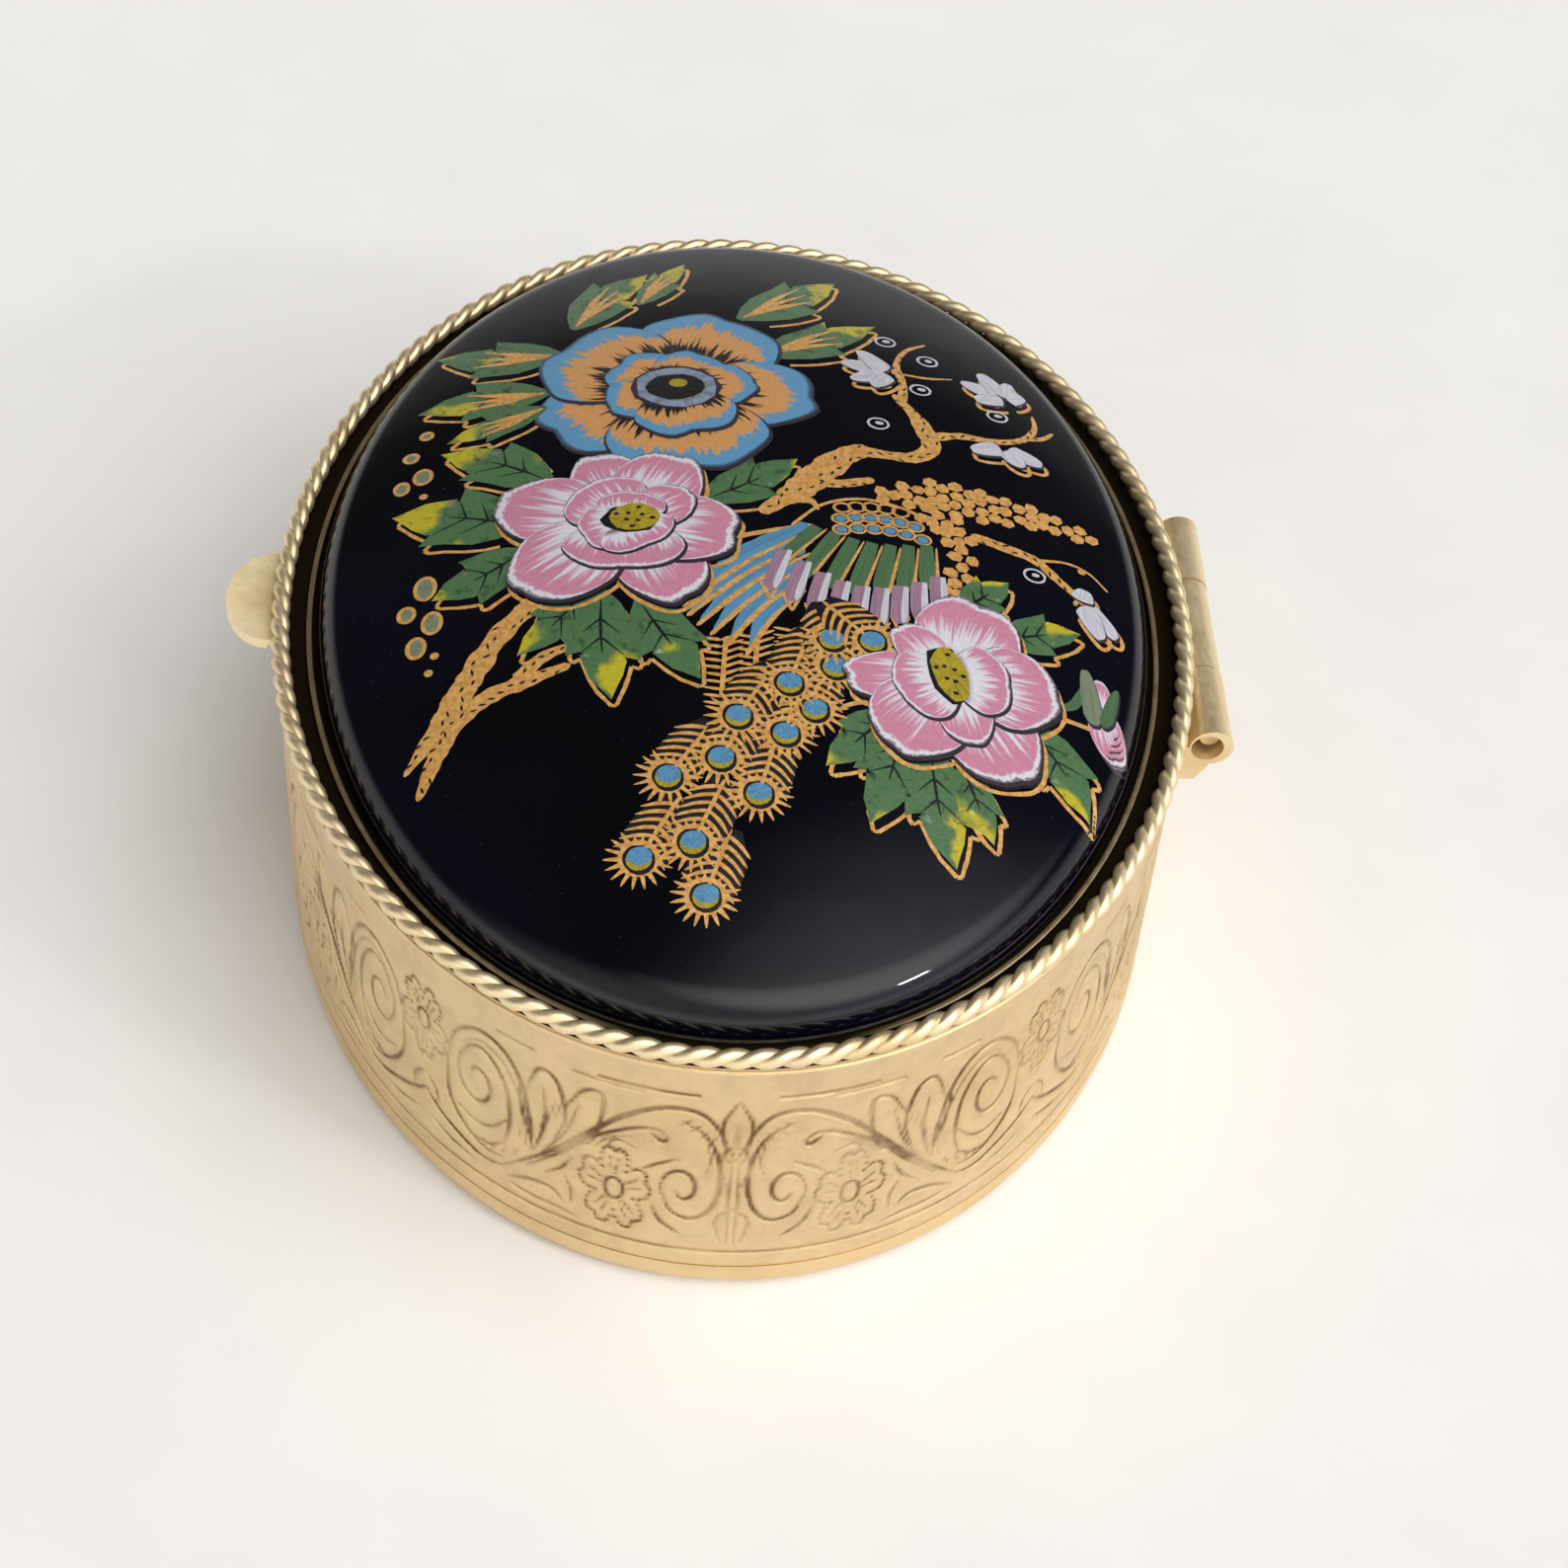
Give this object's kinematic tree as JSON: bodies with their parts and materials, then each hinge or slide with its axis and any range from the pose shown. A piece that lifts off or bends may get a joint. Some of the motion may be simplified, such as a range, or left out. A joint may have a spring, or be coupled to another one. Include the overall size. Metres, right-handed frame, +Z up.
{
  "type": "pill box",
  "caption": "Small oval metal box with an engraved wall and a hinged lid that carries a rope rim, a thumb tab and a glazed porcelain dome.",
  "frame": {"origin": "centre of the flat underside, on the surface that the box stands on", "axes": "+Z up, +X towards the hinge, -X towards the thumb tab, Y along the oval's long axis"},
  "size_m": [0.0431, 0.0516, 0.0194],
  "materials": {
    "gold_plate": "satin gold-tone plating",
    "gold_rope": "polished gold-tone wire",
    "pin_metal": "drawn wire, polished end",
    "cement": "matt cement",
    "porcelain": "gloss glaze with a coloured and gilt bird and blossom pattern"
  },
  "bodies": {
    "base": {"base_pan": "gold_plate", "base_wall": "gold_plate", "hinge_knuckle_near": "gold_plate", "hinge_knuckle_far": "gold_plate", "hinge_pin": "pin_metal"},
    "lid": {"lid_plate": "gold_plate", "lid_skirt": "gold_plate", "rope_rim": "gold_rope", "bezel": "gold_plate", "cement_bed": "cement", "cabochon": "porcelain", "thumb_tab": "gold_plate", "lid_knuckle": "gold_plate"}
  },
  "joints": [
    {"name": "lid_hinge", "type": "hinge", "parent": "base", "child": "lid", "pos_m": [0.0203, 0, 0.0135], "axis": [0, 1, 0], "range_deg": [0, 105]}
  ]
}
